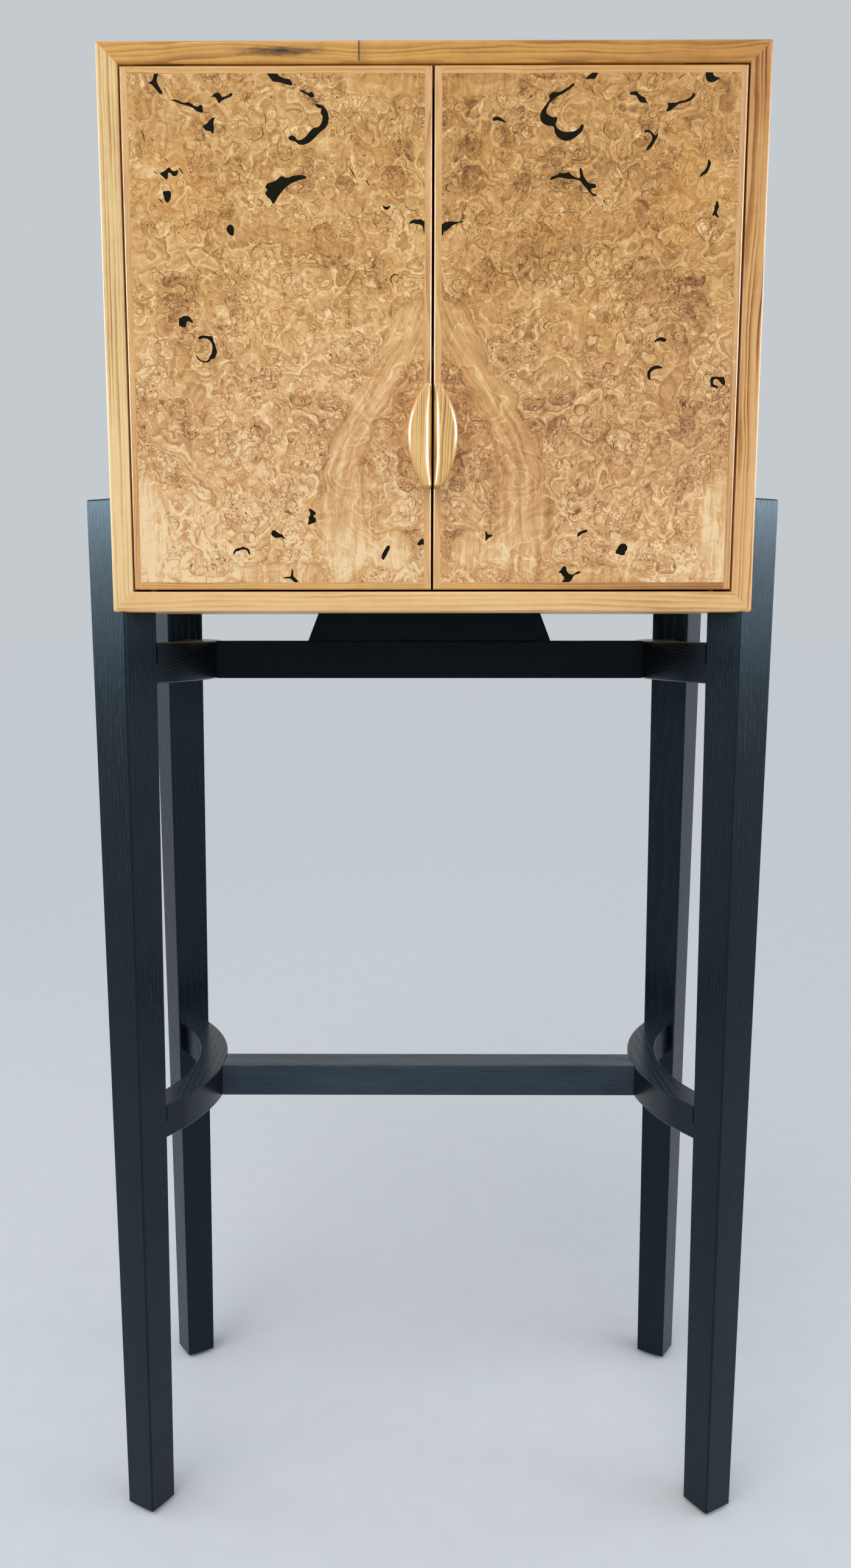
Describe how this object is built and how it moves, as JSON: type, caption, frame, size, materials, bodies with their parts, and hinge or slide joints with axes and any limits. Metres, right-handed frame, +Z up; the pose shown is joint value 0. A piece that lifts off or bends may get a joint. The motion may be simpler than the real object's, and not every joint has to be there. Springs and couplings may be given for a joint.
{
  "type": "cabinet on stand",
  "caption": "Two-door burl-fronted cabinet with mitred case, carried in notched legs of a tall ebonised stand with curved side rails.",
  "frame": {"origin": "on the floor, under the middle of the whole object", "axes": "+Z up, +X to the right of someone facing the doors, the doors face -Y"},
  "size_m": [0.6638, 0.3756, 1.464],
  "materials": {
    "case_wood": "satin oil",
    "inside_wood": "satin oil",
    "burl": "satin oil over burl figure with black filled voids",
    "lipping": "satin oil",
    "core": "raw",
    "handle_wood": "polished",
    "stand_wood": "black stain, satin, open grain",
    "brass": "brushed",
    "steel": "brushed",
    "glide": "matt"
  },
  "bodies": {
    "stand_and_case": {"back_panel": "inside_wood", "back_panel_screws": "brass", "case_bottom": "case_wood", "case_left_side": "case_wood", "case_mitre_splines": "case_wood", "case_right_side": "case_wood", "case_top": "case_wood", "catch_block": "stand_wood", "catch_magnets": "steel", "catch_screws": "brass", "foot_glides": "glide", "hinge_case_leaves": "brass", "hinge_case_screws": "brass", "hinge_washers": "brass", "leg_back_left": "stand_wood", "leg_back_right": "stand_wood", "leg_front_left": "stand_wood", "leg_front_right": "stand_wood", "leg_screws": "steel", "shelf": "inside_wood", "shelf_pins": "brass", "side_rail_left_lower": "stand_wood", "side_rail_left_upper": "stand_wood", "side_rail_right_lower": "stand_wood", "side_rail_right_upper": "stand_wood", "stand_tenons": "core", "stretcher_lower": "stand_wood", "stretcher_upper": "stand_wood", "support_block": "stand_wood", "support_block_screws": "steel"},
    "door_left": {"door_left_burl_veneer": "burl", "door_left_core": "core", "door_left_handle": "handle_wood", "door_left_handle_screws": "brass", "door_left_hinge_leaves": "brass", "door_left_hinge_screws": "brass", "door_left_inside_veneer": "inside_wood", "door_left_lipping_bottom": "lipping", "door_left_lipping_hinge": "lipping", "door_left_lipping_meeting": "lipping", "door_left_lipping_top": "lipping", "door_left_strike": "steel"},
    "door_right": {"door_right_burl_veneer": "burl", "door_right_core": "core", "door_right_handle": "handle_wood", "door_right_handle_screws": "brass", "door_right_hinge_leaves": "brass", "door_right_hinge_screws": "brass", "door_right_inside_veneer": "inside_wood", "door_right_lipping_bottom": "lipping", "door_right_lipping_hinge": "lipping", "door_right_lipping_meeting": "lipping", "door_right_lipping_top": "lipping", "door_right_strike": "steel"}
  },
  "joints": [
    {"name": "door_left_hinge", "type": "hinge", "parent": "stand_and_case", "child": "door_left", "pos_m": [-0.266, -0.16284, 1.21], "axis": [0, 0, -1], "range_deg": [0, 110]},
    {"name": "door_right_hinge", "type": "hinge", "parent": "stand_and_case", "child": "door_right", "pos_m": [0.266, -0.16284, 1.21], "axis": [0, 0, 1], "range_deg": [0, 110]}
  ]
}
